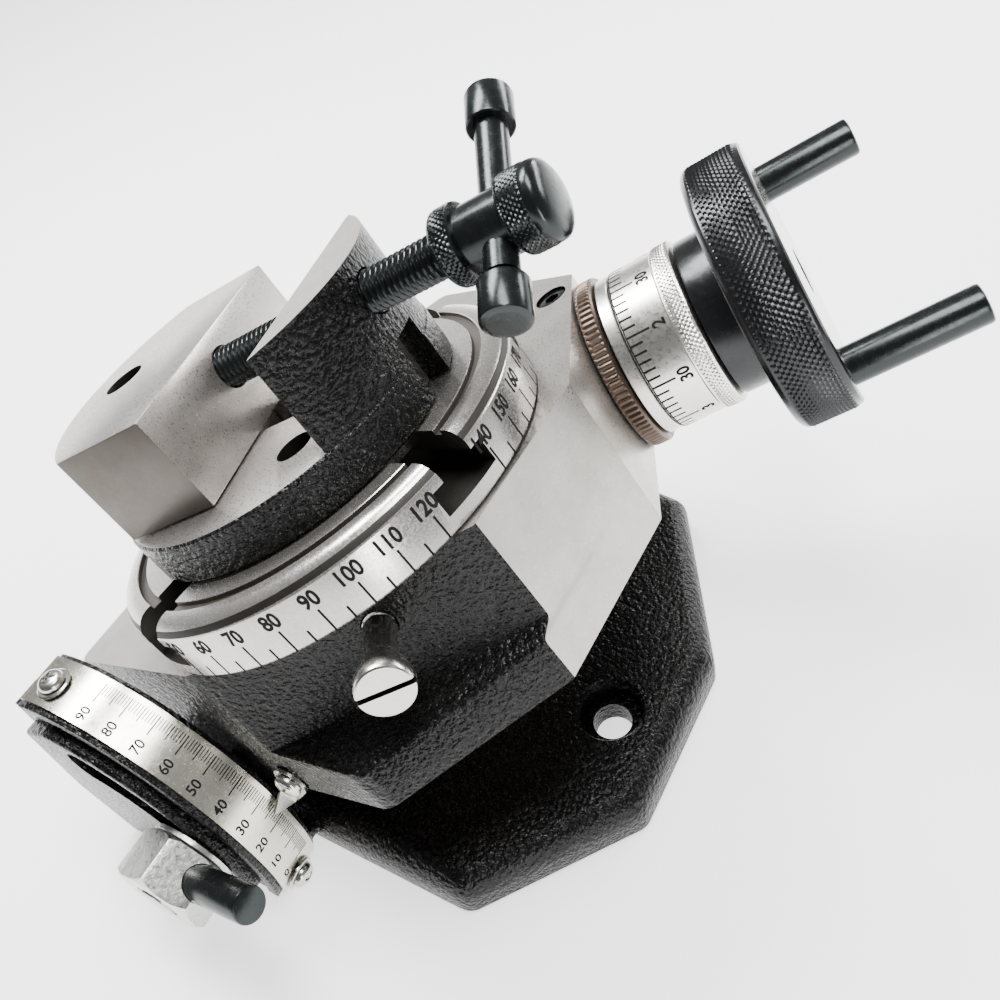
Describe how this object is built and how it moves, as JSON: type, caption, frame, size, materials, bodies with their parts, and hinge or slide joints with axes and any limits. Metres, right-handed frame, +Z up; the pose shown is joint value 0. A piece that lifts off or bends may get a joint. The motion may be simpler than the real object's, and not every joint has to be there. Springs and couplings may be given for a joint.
{
  "type": "rotary table",
  "caption": "Small tilting rotary table: base with tilt quadrant and lever lock, worm-driven T-slot table with handwheel and dial, and a round two-jaw vise.",
  "frame": {"origin": "on the base underside, straight below the table axis when the table is level", "axes": "+Z up, tilt hinge pin along Y at the -X edge, so the body tilts up at +X; the handwheel is at +X +Y"},
  "size_m": [0.128, 0.1501, 0.1097],
  "materials": {
    "black_wrinkle_casting": "black wrinkle paint, ground where machined",
    "ground_iron": "ground cast iron, satin",
    "nickel_plate": "satin nickel, engraved black",
    "zinc_plate": "bright zinc plating",
    "black_oxide": "black oxide, satin",
    "turned_steel": "fine turned",
    "satin_chrome": "satin chrome, engraved black",
    "brown_ring": "brown oxide, straight knurled",
    "black_wheel": "black oxide, diamond knurled, bright face",
    "bronze": "cut bronze",
    "bright_screw": "bright zinc"
  },
  "bodies": {
    "base": {"base_casting": "black_wrinkle_casting", "tilt_scale_plate": "nickel_plate", "scale_washer_lower": "bright_screw", "scale_washer_upper": "bright_screw", "scale_screw_lower": "bright_screw", "scale_screw_upper": "bright_screw", "hinge_pin": "turned_steel"},
    "tilting_body": {"body_casting": "black_wrinkle_casting", "tilt_lock_stud": "turned_steel", "tilt_lock_washer": "zinc_plate", "pointer": "bright_screw", "pointer_screw": "bright_screw", "sleeve_set_screw": "black_oxide", "worm_bush": "satin_chrome"},
    "tilt_lock": {"tilt_lock_nut": "zinc_plate", "lock_lever": "black_oxide"},
    "table_lock": {"table_lock_screw": "bright_screw"},
    "take_up": {"take_up_ring": "brown_ring"},
    "worm": {"worm_shaft": "turned_steel", "handwheel": "black_wheel", "handle_pin_1": "black_oxide", "handle_pin_2": "black_oxide", "handwheel_set_screw": "black_oxide"},
    "dial": {"graduated_dial": "satin_chrome"},
    "table": {"rotary_table": "ground_iron", "worm_wheel": "bronze", "wheel_key": "turned_steel", "spindle_washer": "zinc_plate", "spindle_nut": "zinc_plate", "vise_body": "black_wrinkle_casting", "vise_clamp_screw_1": "black_oxide", "vise_clamp_screw_2": "black_oxide"},
    "jaw": {"movable_jaw": "ground_iron", "jaw_hold_down_screw": "black_oxide", "jaw_keeper_plate": "turned_steel"},
    "vise_screw_body": {"vise_screw": "black_oxide"},
    "tommy": {"tommy_bar": "black_oxide", "tommy_cap_1": "black_oxide", "tommy_cap_2": "black_oxide"}
  },
  "joints": [
    {"name": "tilt", "type": "hinge", "parent": "base", "child": "tilting_body", "pos_m": [-0.0443, 0, 0.01112], "axis": [0, -1, 0], "range_deg": [-24.5, 65.5]},
    {"name": "handwheel_turn", "type": "hinge", "parent": "tilting_body", "child": "worm", "pos_m": [-0.02116, 0.02379, 0.03404], "axis": [0.788, 0.5, 0.3591], "continuous": true},
    {"name": "table_spin", "type": "hinge", "parent": "tilting_body", "child": "table", "pos_m": [-0.01516, 0, 0.054], "axis": [-0.4147, 0, 0.91], "continuous": true},
    {"name": "dial_slip", "type": "hinge", "parent": "worm", "child": "dial", "pos_m": [-0.02116, 0.02379, 0.03404], "axis": [0.788, 0.5, 0.3591], "continuous": true},
    {"name": "take_up_turn", "type": "hinge", "parent": "tilting_body", "child": "take_up", "pos_m": [-0.02116, 0.02379, 0.03404], "axis": [0.788, 0.5, 0.3591], "range_deg": [-30, 30]},
    {"name": "table_lock_turn", "type": "hinge", "parent": "tilting_body", "child": "table_lock", "pos_m": [-0.01205, 0, 0.04717], "axis": [0.6434, -0.7071, 0.2932], "range_deg": [-10, 180]},
    {"name": "tilt_lock_turn", "type": "hinge", "parent": "tilting_body", "child": "tilt_lock", "pos_m": [-0.02467, -0.0565, 0.01667], "axis": [0, -1, 0], "range_deg": [-20, 110]},
    {"name": "jaw_slide", "type": "slide", "parent": "table", "child": "jaw", "axis": [0.8523, 0.3502, 0.3884], "range_m": [0, 0.02]},
    {"name": "vise_screw_turn", "type": "hinge", "parent": "jaw", "child": "vise_screw_body", "pos_m": [-0.02673, 0, 0.07938], "axis": [0.8523, 0.3502, 0.3884], "range_deg": [-5, 7205]},
    {"name": "tommy_slide", "type": "slide", "parent": "vise_screw_body", "child": "tommy", "axis": [-0.4722, 0.8346, 0.2837], "range_m": [-0.0109, 0.0033]}
  ],
  "couplings": [
    {"joint": "table_spin", "follows": "handwheel_turn", "ratio": 0.013889},
    {"joint": "vise_screw_turn", "follows": "jaw_slide", "rad_per_m": 6283.2}
  ]
}
